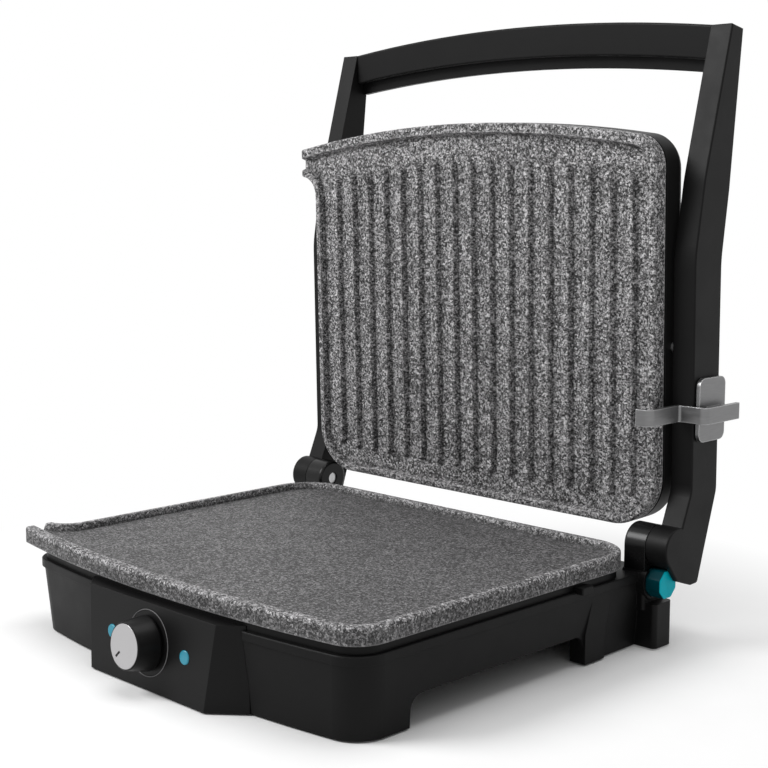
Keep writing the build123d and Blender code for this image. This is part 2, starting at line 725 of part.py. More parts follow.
def control_panel():
    """Front panel with holes for the thermostat and the lamps and a fine ring round the knob."""
    body = panel_solid(0) - panel_hollow()
    body -= Pos(0, 0, DECK_Z - PANEL_GAP) * extrude(inset_plate_face(FRAME_INSET - PANEL_GAP), PANEL_TOP_Z)
    knob = panel_plane(0, KNOB_Z)
    body -= knob * Cylinder(COLLAR_R + COLLAR_GAP, 6 * PANEL_WALL)
    ring = Cylinder(DIAL_RING_R + DIAL_RING_WIDTH, 2 * DIAL_RING_DEPTH)
    body -= knob * (ring - Cylinder(DIAL_RING_R, 4 * DIAL_RING_DEPTH))
    for side in SIDES:
        body -= panel_plane(side * LAMP_X, LAMP_Z) * Cylinder(LAMP_R + LAMP_GAP, 6 * PANEL_WALL)
    return body


def lamp(side):
    """Domed lamp lens with a stem through the panel."""
    plane = panel_plane(side * LAMP_X, LAMP_Z)
    lens = Pos(0, 0, LAMP_PROUD - LAMP_DEPTH / 2) * Cylinder(LAMP_R, LAMP_DEPTH)
    lens = fillet(lens.faces().sort_by(Axis.Z)[-1].edges(), LAMP_PROUD)
    collar = Cylinder(LAMP_R + LAMP_COLLAR, PANEL_WALL / 2)
    lens += Pos(0, 0, -PANEL_WALL - LAMP_GAP - PANEL_WALL / 2) * collar
    return plane * lens


def thermostat():
    """Thermostat body behind the panel, with the collar and shaft that carry the knob."""
    plane = panel_plane(0, KNOB_Z)
    depth = PANEL_WALL + PANEL_GAP + THERMOSTAT_DEPTH / 2
    body = Pos(0, 0, -depth - PANEL_GAP) * Box(THERMOSTAT_SIZE, THERMOSTAT_SIZE, THERMOSTAT_DEPTH)
    collar_length = PANEL_WALL + 2 * PANEL_GAP
    body += Pos(0, 0, -collar_length / 2) * Cylinder(COLLAR_R, collar_length)
    shaft_length = KNOB_STANDOFF + KNOB_BORE_DEPTH - 1 + PANEL_WALL
    body += Pos(0, 0, shaft_length / 2 - PANEL_WALL) * Cylinder(SHAFT_R, shaft_length)
    return plane * body


def knob_parts():
    """Knob with a recessed silver disc and a black pointer mark, all on the panel's normal."""
    length = KNOB_LENGTH - KNOB_STANDOFF
    cone = Pos(0, 0, length / 2) * Cone(KNOB_R_BASE, KNOB_R_FACE, length)
    cone = fillet(cone.faces().sort_by(Axis.Z)[-1].edges(), KNOB_ROUND / 2)
    cone = fillet(cone.faces().sort_by(Axis.Z)[0].edges(), KNOB_ROUND)
    cone -= Pos(0, 0, length) * Cylinder(DISC_R + DISC_GAP, 2 * DISC_RECESS)
    inside = length - DISC_RECESS - KNOB_WALL
    hollow = Cylinder(KNOB_R_FACE - KNOB_WALL, inside) - Cylinder(2 * SHAFT_R, inside)
    cone -= Pos(0, 0, inside / 2) * hollow
    cone -= Pos(0, 0, KNOB_BORE_DEPTH / 2) * Cylinder(SHAFT_R + SHAFT_GAP, KNOB_BORE_DEPTH)
    disc = Pos(0, 0, length - DISC_RECESS / 2) * Cylinder(DISC_R, DISC_RECESS)
    angle = radians(MARK_ANGLE)
    place = Pos(MARK_OUT * cos(angle), MARK_OUT * sin(angle), length) * Rot(0, 0, MARK_ANGLE)
    disc -= place * Box(MARK_LENGTH, MARK_WIDTH, 2 * MARK_DEPTH)
    mark = place * Pos(0, 0, -MARK_DEPTH / 2) * Box(MARK_LENGTH, MARK_WIDTH, MARK_DEPTH)
    lift = panel_plane(0, KNOB_Z) * Pos(0, 0, KNOB_STANDOFF)
    return {"knob": lift * cone, "knob_disc": lift * disc, "knob_pointer": lift * mark}


def terminal_block():
    x, y = TERMINAL_AT
    w, d, h = TERMINAL_SIZE
    z = SKIRT_Z + COVER_GAP / 2 + COVER_SHEET + h / 2
    body = Pos(x, y, z) * Box(w, d, h)
    for i in range(3):
        hole = Pos(x + (i - 1) * w / 3, y, z) * Rot(90, 0, 0) * Cylinder(SCREW_R, 2 * d)
        body -= hole
    return body


def cord_gland():
    """Strain-relief gland in the back wall, with an open bore for the lead."""
    wall = HOUSING_WALL + GLAND_FLANGE_T
    barrel = Pos(0, 0, (GLAND_OUT - wall) / 2) * Cylinder(GLAND_R, GLAND_OUT + wall)
    flange = Pos(0, 0, THREAD_GAP + GLAND_FLANGE_T / 2) * Cylinder(GLAND_FLANGE_R, GLAND_FLANGE_T)
    body = barrel + flange - Cylinder(GLAND_BORE_R, 4 * GLAND_OUT)
    return Pos(GLAND_X, HOUSING_BACK, GLAND_Z) * Rot(-90, 0, 0) * body


def hinge_parts():
    """Knuckles on the towers and the pins through them, about the hinge axis."""
    length = KNUCKLE_OUTER - KNUCKLE_INNER
    axle = Pos(KNUCKLE_INNER + length / 2, HINGE_Y, HINGE_Z) * Rot(0, 90, 0)
    front = HINGE_Y - BARREL_R
    foot = box_between(KNUCKLE_INNER, KNUCKLE_OUTER, front, KNUCKLE_BACK, KNUCKLE_FOOT_Z, HINGE_Z)
    knuckle = axle * Cylinder(BARREL_R, length) + foot
    knuckle = fillet(knuckle.faces().sort_by(Axis.X)[0].outer_wire().edges(), KNUCKLE_ROUND)
    knuckle -= axle * Cylinder(PIN_R + PIN_GAP, 2 * length)
    pin_start = KNUCKLE_INNER + PIN_INSET
    pin_length = PIN_REACH - pin_start
    pin = Pos(pin_start + pin_length / 2, HINGE_Y, HINGE_Z) * Rot(0, 90, 0) * Cylinder(PIN_R, pin_length)
    return {
        "hinge_knuckle_right": knuckle - button_cavity(),
        "hinge_knuckle_left": mirror(knuckle, Plane.YZ),
        "hinge_pins": Compound(mirrored_pair(pin)),
    }


def arm_profile():
    """Side outline of an arm in the Y-Z plane."""
    points = [
        ARM_TOP_FRONT,
        ARM_MID_FRONT,
        ARM_KINK_FRONT,
        ARM_LOW_FRONT,
        ARM_NECK_FRONT,
        (0, 0),
        ARM_CHIN,
        ARM_TOE,
        ARM_HEEL_FRONT,
        ARM_HEEL_BACK,
        ARM_CALF,
        ARM_LOW_BACK,
        ARM_KINK_BACK,
        ARM_MID_BACK,
        ARM_TOP_BACK,
    ]
    face = make_face(Polyline(*points, close=True))

    def near(face_now, point):
        return [v for v in face_now.vertices() if hypot(v.X - point[0], v.Y - point[1]) < 0.5]

    for point in (ARM_MID_FRONT, ARM_KINK_FRONT, ARM_KINK_BACK, ARM_MID_BACK, ARM_CALF):
        face = fillet(near(face, point), ARM_BEND_R)
    face = fillet(near(face, ARM_LOW_FRONT), ARM_NECK_R)
    face = fillet(near(face, ARM_LOW_BACK), ARM_NECK_R)
    for point in (ARM_HEEL_FRONT, ARM_HEEL_BACK):
        face = fillet(near(face, point), ARM_HEEL_R)
    return Pos(HINGE_Y, HINGE_Z) * (face + Circle(BARREL_R))


def side_plane(x):
    return Plane(origin=(x, 0, 0), x_dir=(0, 1, 0), z_dir=(1, 0, 0))


def pivot_place():
    """Y and Z of the lid's pivot pins in the open rest pose."""
    closed_y = PLATE_BACK - PIVOT_BACK + LID_SHIFT - HINGE_Y
    closed_z = PLATE_SEAT_Z + PLATE_WALL + LID_GAP + PIVOT_UP - HINGE_Z
    a = radians(OPEN_ANGLE)
    return HINGE_Y + closed_y * cos(a) + closed_z * sin(a), HINGE_Z - closed_y * sin(a) + closed_z * cos(a)


def plain_arm():
    """Right-hand arm with its hinge bore and pivot bore."""
    body = extrude(side_plane(ARM_INNER) * arm_profile(), ARM_OUTER - ARM_INNER)
    body = fillet(body.faces().sort_by(Axis.X)[-1].outer_wire().edges(), ARM_EDGE)
    pin_end = PIN_REACH + BODY_GAP
    body -= side_bore(KNUCKLE_OUTER, pin_end, HINGE_Y, HINGE_Z, PIN_R + PIN_GAP)
    y, z = pivot_place()
    return body - side_bore(KNUCKLE_OUTER, ARM_INNER + PIVOT_SUNK + BODY_GAP, y, z, PIVOT_R + PIVOT_GAP)


def side_bore(x0, x1, y, z, radius):
    """Round cutter along X."""
    return Pos((x0 + x1) / 2, y, z) * Rot(0, 90, 0) * Cylinder(radius, x1 - x0)


def button_slot():
    """Curved slot inside the right arm's boot that the button stands in as the arm turns."""
    inner = BARREL_R + BODY_GAP
    outer = hypot(HINGE_Y - BUTTON_Y, HINGE_Z - BUTTON_Z) + GUIDE_R + LATCH_SLOT_GAP
    step = (SLOT_END - SLOT_START) / SLOT_STEPS
    reach = 2 * outer
    points = [(0.0, 0.0)]
    for i in range(SLOT_STEPS + 1):
        angle = radians(SLOT_START + step * i)
        points.append((reach * cos(angle), reach * sin(angle)))
    wedge = make_face(Polyline(*points, close=True))
    sector = Pos(HINGE_Y, HINGE_Z) * (wedge & (Circle(outer) - Circle(inner)))
    return extrude(side_plane(ARM_INNER - BODY_GAP) * sector, ARM_OUTER - ARM_SKIN - ARM_INNER + BODY_GAP)


def latch_cutout():
    """Slot and inner pocket in the right arm for the latch stem and its keeper."""
    y = (SPACER_FRONT + SPACER_BACK) / 2
    low = STEM_Z - STEM_HALF_Z - LATCH_TRAVEL - LATCH_SLOT_GAP
    high = STEM_Z + STEM_HALF_Z + LATCH_SLOT_GAP
    half = STEM_HALF_Y + LATCH_SLOT_GAP
    slot = box_between(KNUCKLE_OUTER, PAD_X, y - half, y + half, low, high)
    wide = half + KEEPER_MORE
    pocket_x = STEM_INNER_X + KEEPER_T + LATCH_SLOT_GAP
    pocket = box_between(KNUCKLE_OUTER, pocket_x, y - wide, y + wide, low - KEEPER_MORE, high + KEEPER_MORE)
    return slot + pocket


def arms():
    right = plain_arm()
    left = mirror(plain_arm(), Plane.YZ)
    right -= button_slot()
    right -= latch_cutout()
    return {"arm_right": right, "arm_left": left}


def handle_shell(y0, y1, drop_top, skirt):
    """Arched bar between the arms, from y0 to y1."""
    rise = HANDLE_TOP_MID - HANDLE_TOP_END
    top_mid = HANDLE_TOP_MID - drop_top
    low_mid = HANDLE_TOP_MID - HANDLE_HEIGHT - skirt
    half = HANDLE_HALF
    edges = [
        ThreePointArc((-half, top_mid - rise), (0, top_mid), (half, top_mid - rise)),
        Line((half, top_mid - rise), (half, low_mid - rise)),
        ThreePointArc((half, low_mid - rise), (0, low_mid), (-half, low_mid - rise)),
        Line((-half, low_mid - rise), (-half, top_mid - rise)),
    ]
    plane = Plane(origin=(0, y1, 0), x_dir=(1, 0, 0), z_dir=(0, -1, 0))
    return extrude(plane * make_face(edges), y1 - y0)


def handle_screw_places():
    """X and Z of the screws along the handle's arch."""
    places = []
    rise = HANDLE_TOP_MID - HANDLE_TOP_END
    for i in range(HANDLE_SCREW_COUNT):
        x = HANDLE_SCREW_END * (2 * i / (HANDLE_SCREW_COUNT - 1) - 1)
        places.append((x, HANDLE_TOP_MID - HANDLE_HEIGHT / 2 - rise * (x / HANDLE_HALF) ** 2))
    return places


def handle_parts():
    """Two shells of the handle, joined by screws from the back."""
    front = handle_shell(HANDLE_FRONT_Y, HANDLE_SPLIT_Y, 0, 0)
    front = fillet(front.faces().sort_by(Axis.Y)[0].edges().filter_by(GeomType.CIRCLE), HANDLE_EDGE)
    rear = handle_shell(HANDLE_SPLIT_Y + HANDLE_SEAM, HANDLE_BACK_Y, HANDLE_REAR_DROP, HANDLE_SKIRT)
    rear = fillet(rear.faces().sort_by(Axis.Y)[-1].edges().filter_by(GeomType.CIRCLE), HANDLE_EDGE)
    head = Pos(0, 0, SCREW_HEAD_H / 2 - THREAD_GAP) * Cylinder(SCREW_HEAD_R, SCREW_HEAD_H)
    thread = Pos(0, 0, HANDLE_SCREW_H / 2) * Cylinder(SCREW_R, HANDLE_SCREW_H)
    seat = Cylinder(SCREW_HEAD_R + THREAD_GAP, 2 * SCREW_HEAD_H)
    through = Cylinder(SCREW_R + THREAD_GAP, 4 * HANDLE_SCREW_H)
    blind_depth = HANDLE_SCREW_H + 2 * THREAD_GAP
    blind = Pos(0, 0, HANDLE_SCREW_H / 2) * Cylinder(SCREW_R + THREAD_GAP, blind_depth)
    screws = []
    for x, z in handle_screw_places():
        turn = Pos(x, HANDLE_BACK_Y, z) * Rot(90, 0, 0)
        rear -= turn * seat
        rear -= turn * through
        front -= turn * blind
        screws.append(turn * (head + thread))
    return {"handle_front": front, "handle_rear": rear, "handle_screws": Compound(screws)}


def cover_face(inset, grow_r=0.0):
    return arched_face(
        COVER_HALF - inset,
        PLATE_BACK - inset,
        PLATE_FRONT + inset,
        max(COVER_R_FRONT - grow_r, 2 * LEAST_CORNER),
        max(COVER_R_BACK - grow_r, 2 * LEAST_CORNER),
    )


def dome(inset, drop):
    """Closed-pose lid solid: straight wall, then rounded shoulders."""
    base = PLATE_WALL + BODY_GAP
    wall = extrude(Pos(0, 0, base - drop) * cover_face(inset), COVER_WALL_TOP - base)
    sections = []
    for up, draw in COVER_DOME:
        z = COVER_WALL_TOP + up - drop
        sections.append(Pos(0, 0, z) * cover_face(inset + draw, draw / 3))
    return wall + loft(sections)


def lid_cover():
    """Lid cover shell with inner bosses round the pivot pins."""
    body = dome(0, 0) - dome(COVER_SHELL, COVER_SHELL)
    y = PLATE_BACK - PIVOT_BACK
    up = PIVOT_UP
    for side in SIDES:
        x = side * (COVER_HALF - COVER_SHELL / 2 - PIVOT_BOSS_DEPTH / 2)
        depth = PIVOT_BOSS_DEPTH + COVER_SHELL / 2
        boss = Pos(x, y, up) * Rot(0, 90, 0) * Cylinder(PIVOT_BOSS_R, depth)
        reach = 2 * PIVOT_BOSS_R
        boss &= box_between(
            -COVER_HALF, COVER_HALF, y - reach, y + reach, PLATE_WALL + BODY_GAP, up + reach
        )
        body += boss
        bore = Cylinder(PIVOT_R + PIVOT_GAP, 4 * PIVOT_BOSS_DEPTH)
        body -= Pos(side * COVER_HALF, y, up) * Rot(0, 90, 0) * bore
    return to_open(Pos(0, LID_SHIFT, PLATE_SEAT_Z + PLATE_WALL + LID_GAP) * body)


def lid_pivot_pins():
    y, z = pivot_place()
    start = COVER_HALF - COVER_SHELL - PIVOT_BOSS_DEPTH
    length = ARM_INNER + PIVOT_SUNK - start
    pin = Pos(start + length / 2, y, z) * Rot(0, 90, 0) * Cylinder(PIVOT_R, length)
    return Compound(mirrored_pair(pin))


def strip_route():
    """Centre line of the bent latch strip, seen from above."""
    half = STRIP_T / 2
    return FilletPolyline(
        (GRIP_X - half, GRIP_BACK),
        (GRIP_X - half, GRIP_FRONT + half),
        (HOOK_X - half, GRIP_FRONT + half),
        (HOOK_X - half, HOOK_TIP_Y + half),
        (HOOK_TIP_X, HOOK_TIP_Y + half),
        radius=STRIP_BEND,
    )


def latch_parts():
    """Bent strip with its hook, pad on the arm, and the stem that slides in the arm's slot."""
    height = STRIP_HIGH - STRIP_LOW
    route = strip_route()
    section = Plane(origin=route @ 0, z_dir=route % 0) * Rectangle(STRIP_T, height)
    strip = Pos(0, 0, STRIP_LOW + height / 2) * sweep(section, path=route)
    pad_inner = PAD_X - PAD_T
    pad = box_between(pad_inner, PAD_X, PAD_FRONT, PAD_BACK, PAD_LOW, PAD_HIGH)
    pad = fillet(pad.edges().filter_by(Axis.X), PAD_CORNER)
    pad += box_between(PAD_X, GRIP_X - STRIP_T, SPACER_FRONT, SPACER_BACK, SPACER_LOW, SPACER_HIGH)
    y = (SPACER_FRONT + SPACER_BACK) / 2
    low = STEM_Z - STEM_HALF_Z
    high = STEM_Z + STEM_HALF_Z
    stem = box_between(STEM_INNER_X, pad_inner, y - STEM_HALF_Y, y + STEM_HALF_Y, low, high)
    wide = STEM_HALF_Y + KEEPER_MORE
    keeper_inner = STEM_INNER_X - BODY_GAP
    keeper_outer = STEM_INNER_X + KEEPER_T
    keeper = box_between(
        keeper_inner, keeper_outer, y - wide, y + wide, low - KEEPER_MORE, high + KEEPER_MORE
    )
    return {"latch_strip": strip, "latch_pad": pad, "latch_slider": stem + keeper}


def catch_tang(gap):
    """Lug that the latch hooks under, grown by gap for its seat in the housing."""
    front = CATCH_FRONT - gap
    back = CATCH_BACK + gap
    return box_between(CATCH_SEAT_X - gap, CATCH_X, front, back, CATCH_LOW - gap, CATCH_HIGH + gap)


def latch_catch():
    lug = catch_tang(0)
    return fillet(lug.edges().filter_by(Axis.Z).group_by(Axis.X)[-1], CATCH_ROUND)


def button_outline(grow):
    """Eight-sided outline with rounded corners."""
    face = RegularPolygon(BUTTON_R + grow, BUTTON_SIDES, major_radius=False, rotation=180 / BUTTON_SIDES)
    return fillet(face.vertices(), BUTTON_CORNER)


def button_place(x):
    return Plane(origin=(x, BUTTON_Y, BUTTON_Z), x_dir=(0, 1, 0), z_dir=(1, 0, 0))


def button_stem_start():
    """X of the inner end of the stem's bore."""
    return button_room_start() - BUTTON_STEM_LENGTH - BUTTON_SEAT


def button_room_start():
    """X of the floor of the cap's room, with the button pressed home."""
    return GUIDE_FACE_X - BUTTON_SEAT - BUTTON_TRAVEL - BODY_GAP


def button_cavity():
    """Room for the button's cap and stem in its guide."""
    room_start = button_room_start()
    room = extrude(button_place(room_start) * button_outline(BUTTON_GAP), 3 * BUTTON_TRAVEL)
    stem_start = button_stem_start()
    stem_length = room_start + BUTTON_SEAT - stem_start
    return room + extrude(button_place(stem_start) * Circle(BUTTON_STEM_R + THREAD_GAP), stem_length)


def button_parts():
    """Eight-sided cap with a hollow stem for the spring."""
    cap_start = GUIDE_FACE_X - BUTTON_SEAT
    cap = extrude(button_place(cap_start) * button_outline(0), BUTTON_FACE_X - cap_start)
    cap = fillet(cap.faces().sort_by(Axis.X)[-1].edges(), BUTTON_EDGE)
    stem_length = BUTTON_STEM_LENGTH - BUTTON_TRAVEL
    stem_end = button_place(cap_start - stem_length)
    cap += extrude(stem_end * Circle(BUTTON_STEM_R), stem_length)
    return cap - extrude(stem_end * Circle(SPRING_R + 2 * SPRING_WIRE_R), stem_length)


def button_spring():
    """Return spring between the stem's cup and the end of its bore."""
    bore_end = button_stem_start()
    length = GUIDE_FACE_X - BUTTON_SEAT - bore_end - 2 * SPRING_WIRE_R
    path = Helix(pitch=length / SPRING_TURNS, height=length, radius=SPRING_R)
    wire = sweep(Plane(origin=path @ 0, z_dir=path % 0) * Circle(SPRING_WIRE_R), path=path)
    return Pos(bore_end + SPRING_WIRE_R, BUTTON_Y, BUTTON_Z) * Rot(0, 90, 0) * wire


def build_all():
    parts = {"base_housing": base_housing(), "control_panel": control_panel()}
    parts.update(bottom_cover())
    parts.update(feet())
    parts.update(lower_heating())
    parts["lower_plate"] = lower_plate()
    parts["lamp_left"] = lamp(-1)
    parts["lamp_right"] = lamp(1)
    parts["thermostat"] = thermostat()
    parts["terminal_block"] = terminal_block()
    parts["cord_gland"] = cord_gland()
    parts.update(hinge_parts())
    parts["latch_catch"] = latch_catch()
    parts["release_button"] = button_parts()
    parts["button_spring"] = button_spring()
    parts.update(knob_parts())
    parts.update(arms())
    parts.update(handle_parts())
    parts["lid_pivot_pins"] = lid_pivot_pins()
    parts["lid_cover"] = lid_cover()
    parts["upper_plate"] = upper_plate()
    parts.update(upper_heating())
    parts.update(latch_parts())
    return parts


for name, shape in build_all().items():
    export_step(shape, "parts/" + name + ".step")
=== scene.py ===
import json
from math import radians

import bpy
from mathutils import Matrix, Vector


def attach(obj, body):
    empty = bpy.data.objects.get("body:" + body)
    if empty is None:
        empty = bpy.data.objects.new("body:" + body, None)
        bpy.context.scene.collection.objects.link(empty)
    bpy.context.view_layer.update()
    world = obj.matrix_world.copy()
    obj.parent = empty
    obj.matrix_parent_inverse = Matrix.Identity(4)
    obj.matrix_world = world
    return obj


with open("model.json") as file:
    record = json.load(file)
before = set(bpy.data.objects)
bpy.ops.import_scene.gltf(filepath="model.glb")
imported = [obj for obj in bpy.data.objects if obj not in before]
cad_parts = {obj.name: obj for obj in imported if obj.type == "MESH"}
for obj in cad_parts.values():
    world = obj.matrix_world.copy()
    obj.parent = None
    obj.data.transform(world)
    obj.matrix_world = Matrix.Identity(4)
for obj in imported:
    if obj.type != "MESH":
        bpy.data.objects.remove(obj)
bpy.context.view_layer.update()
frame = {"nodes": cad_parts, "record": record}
NODES = frame["nodes"]
WHITE = (1.0, 1.0, 1.0)

# The photograph's camera, solved in the part's frame. Metres, and millimetres for the lens.
CAMERA_AT = Vector((0.6564, -0.59975, 0.2820))
CAMERA_RIGHT = Vector((0.7053, 0.7089, 0.0))
CAMERA_UP = Vector((-0.0961, 0.0956, 0.9907))
CAMERA_LENS = 68.76
SENSOR_WIDTH = 36.0
CLIP_START = 0.01
CLIP_END = 50.0

# Name, place, target, diameter and watts. The key is at the front left, so faces to the right stay dark.
LIGHTS = (
    ("key", (-1.1, -1.5, 1.6), (0.0, 0.0, 0.12), 1.2, 46.0),
    ("fill", (1.6, -1.0, 1.2), (0.0, 0.0, 0.15), 1.6, 2.0),
    ("top", (0.2, 0.3, 2.0), (0.0, 0.0, 0.1), 1.6, 18.0),
)
WORLD_LIGHT = 0.30
WORLD_SEEN = 1.0

# The floor is pale near the object and turns plain white between these distances from its middle.
FLOOR_HALF = 6.0
FLOOR_DROP = 0.0003
FLOOR_TONES = (0.90, 0.92)
FADE_START = 0.17
FADE_END = 0.40

# The knob's axis meets the sloping panel here, and the pale ring of painted highlight lies round it.
KNOB_CENTRE = (0.0, -0.133466, 0.027)
KNOB_LEAN = radians(5.524)
RING_RADIUS = 0.0188
RING_WIDTH = 0.0005
RING_SEGMENTS = 96
RING_SIDES = 10

# Widths of the looks of edges, in metres: painted highlights on crests, painted shade in grooves, and
# rounded edges.
STONE_CREST_HIGHLIGHT = 0.0016
STONE_GROOVE_SHADE = 0.005
STONE_EDGE = 0.0006
PLASTIC_EDGE = 0.0007
METAL_CREST_HIGHLIGHT = 0.0009
METAL_EDGE = 0.0005
# Heights in metres over which painted shade darkens the lower plate's basin, from the first down to the
# second.
LOWER_BASIN_SHADE_SPAN = (0.0611, 0.0589)


# ---------------------------------------------------------------- camera, lights and world
def add_camera():
    back = CAMERA_RIGHT.cross(CAMERA_UP).normalized()
    right = CAMERA_RIGHT.normalized()
    up = back.cross(right)
    data = bpy.data.cameras.new("camera")
    data.lens = CAMERA_LENS
    data.sensor_width = SENSOR_WIDTH
    data.clip_start = CLIP_START
    data.clip_end = CLIP_END
    camera = bpy.data.objects.new("camera", data)
    bpy.context.scene.collection.objects.link(camera)
    turn = Matrix((right, up, back)).transposed().to_4x4()
    camera.matrix_world = Matrix.Translation(CAMERA_AT) @ turn
    bpy.context.scene.camera = camera


def add_light(name, at, target, size, energy):
    data = bpy.data.lights.new(name, "AREA")
    data.shape = "DISK"
    data.size = size
    data.energy = energy
    light = bpy.data.objects.new(name, data)
    bpy.context.scene.collection.objects.link(light)
    light.location = at
    light.rotation_euler = (Vector(target) - Vector(at)).to_track_quat("-Z", "Y").to_euler()


def background_ray(tree):
    """1 on camera, glossy and transmission rays, which see the white background."""
    path = tree.nodes.new("ShaderNodeLightPath")
    first = tree.nodes.new("ShaderNodeMath")
    first.operation = "MAXIMUM"
    tree.links.new(path.outputs["Is Camera Ray"], first.inputs[0])
    tree.links.new(path.outputs["Is Glossy Ray"], first.inputs[1])
    second = tree.nodes.new("ShaderNodeMath")
    second.operation = "MAXIMUM"
    tree.links.new(first.outputs[0], second.inputs[0])
    tree.links.new(path.outputs["Is Transmission Ray"], second.inputs[1])
    return second.outputs[0]


def white_background(tree, strength):
    made = tree.nodes.new("ShaderNodeBackground")
    made.inputs["Color"].default_value = (*WHITE, 1.0)
    made.inputs["Strength"].default_value = strength
    return made.outputs[0]


def add_world():
    world = bpy.data.worlds.new("studio")
    bpy.context.scene.world = world
    world.use_nodes = True
    tree = world.node_tree
    tree.nodes.clear()
    lit = white_background(tree, WORLD_LIGHT)
    seen = white_background(tree, WORLD_SEEN)
    mix = tree.nodes.new("ShaderNodeMixShader")
    out = tree.nodes.new("ShaderNodeOutputWorld")
    tree.links.new(background_ray(tree), mix.inputs[0])
    tree.links.new(lit, mix.inputs[1])
    tree.links.new(seen, mix.inputs[2])
    tree.links.new(mix.outputs[0], out.inputs[0])


# ---------------------------------------------------------------- shader helpers
def grey(value, tint=(1.0, 0.985, 1.0)):
    return tuple(value * part for part in tint)


class Shader:
    """One Principled material, with short calls for the nodes that feed it."""

    def __init__(self, name, roughness=0.5, metallic=0.0, specular=0.5):
        self.material = bpy.data.materials.new(name)
        self.material.use_nodes = True
        self.tree = self.material.node_tree
        self.bsdf = self.tree.nodes["Principled BSDF"]
        self.bsdf.inputs["Roughness"].default_value = roughness
        self.bsdf.inputs["Metallic"].default_value = metallic
        self.bsdf.inputs["Specular IOR Level"].default_value = specular
        self.coords = self.tree.nodes.new("ShaderNodeTexCoord").outputs["Object"]

    def node(self, kind, **settings):
        made = self.tree.nodes.new(kind)
        for key, value in settings.items():
            setattr(made, key, value)
        return made

    def link(self, source, target):
        self.tree.links.new(source, target)

    def mapped(self, scale=(1, 1, 1), move=(0, 0, 0), turn=(0, 0, 0)):
        """Object coordinates moved so that the point 'move' is the origin, then turned and scaled."""
        shift = self.node("ShaderNodeVectorMath", operation="SUBTRACT")
        shift.inputs[1].default_value = move
        self.link(self.coords, shift.inputs[0])
        mapping = self.node("ShaderNodeMapping")
        mapping.inputs["Scale"].default_value = scale
        mapping.inputs["Rotation"].default_value = turn
        self.link(shift.outputs[0], mapping.inputs["Vector"])
        return mapping.outputs[0]

    def noise(self, scale, detail=2.0, roughness=0.5, vector=None):
        made = self.node("ShaderNodeTexNoise")
        made.inputs["Scale"].default_value = scale
        made.inputs["Detail"].default_value = detail
        made.inputs["Roughness"].default_value = roughness
        self.link(vector or self.coords, made.inputs["Vector"])
        return made.outputs["Fac"]

    def cells(self, scale):
        """Random grey value per small cell."""
        made = self.node("ShaderNodeTexVoronoi")
        made.inputs["Scale"].default_value = scale
        self.link(self.coords, made.inputs["Vector"])
        split = self.node("ShaderNodeSeparateColor")
        self.link(made.outputs["Color"], split.inputs[0])
        return split.outputs[0]

    def math(self, operation, first, second):
        made = self.node("ShaderNodeMath", operation=operation)
        for index, value in enumerate((first, second)):
            if isinstance(value, (int, float)):
                made.inputs[index].default_value = value
            else:
                self.link(value, made.inputs[index])
        return made.outputs[0]

    def span(self, value, low, high, out_low=0.0, out_high=1.0):
        """Value taken from low..high to out_low..out_high, and held at the ends."""
        made = self.node("ShaderNodeMapRange")
        made.clamp = True
        self.link(value, made.inputs["Value"])
        limits = (("From Min", low), ("From Max", high), ("To Min", out_low), ("To Max", out_high))
        for key, number in limits:
            made.inputs[key].default_value = number
        return made.outputs[0]

    def part(self, vector, index):
        split = self.node("ShaderNodeSeparateXYZ")
        self.link(vector, split.inputs[0])
        return split.outputs[index]

    def ramp(self, value, stops):
        made = self.node("ShaderNodeValToRGB")
        elements = made.color_ramp.elements
        while len(elements) < len(stops):
            elements.new(0.5)
        for element, (place, colour) in zip(elements, stops):
            element.position = place
            element.color = (*colour, 1.0)
        self.link(value, made.inputs[0])
        return made.outputs[0]

    def mix(self, factor, first, second):
        made = self.node("ShaderNodeMix", data_type="RGBA")
        self.link(factor, made.inputs[0])
        for index, value in ((6, first), (7, second)):
            if isinstance(value, tuple):
                made.inputs[index].default_value = (*value, 1.0)
            else:
                self.link(value, made.inputs[index])
        return made.outputs[2]

    def hidden(self, distance, low, high, inside):
        """How much of the view is blocked within the distance, from low..high to 0..1."""
        made = self.node("ShaderNodeAmbientOcclusion", samples=6, inside=inside, only_local=True)
        made.inputs["Distance"].default_value = distance
        return self.span(self.math("SUBTRACT", 1.0, made.outputs["AO"]), low, high)

    def crests(self, distance, low, high):
        """1 on outer edges, where rays cast inside the solid soon leave it, 0 on flat faces."""
        return self.hidden(distance, low, high, True)

    def grooves(self, distance, low, high):
        """1 in corners and at the foot of ribs, 0 where nothing stands nearby."""
        return self.hidden(distance, low, high, False)

    def colour(self, value):
        self.link(value, self.bsdf.inputs["Base Color"])

    def rough(self, value):
        self.link(value, self.bsdf.inputs["Roughness"])

    def relief(self, value, strength, depth, round_edges=0.0):
        """Bump from value, over edges that look rounded by round_edges metres."""
        bump = self.node("ShaderNodeBump")
        bump.inputs["Strength"].default_value = strength
        bump.inputs["Distance"].default_value = depth
        self.link(value, bump.inputs["Height"])
        if round_edges:
            soft = self.node("ShaderNodeBevel", samples=4)
            soft.inputs["Radius"].default_value = round_edges
            self.link(soft.outputs[0], bump.inputs["Normal"])
        self.link(bump.outputs[0], self.bsdf.inputs["Normal"])


# ---------------------------------------------------------------- materials
def speckles(shader, fine, grain):
    """Fine noise and cells of two sizes, added up to a value round 0.5."""
    chips = shader.cells(grain)
    dots = shader.cells(grain * 1.7)
    broad = shader.noise(60.0, 2.0)
    blend = shader.math("ADD", shader.math("MULTIPLY", fine, 0.40), shader.math("MULTIPLY", chips, 0.34))
    blend = shader.math("ADD", blend, shader.math("MULTIPLY", dots, 0.26))
    return shader.math("ADD", blend, shader.span(broad, 0.3, 0.7, -0.02, 0.02))


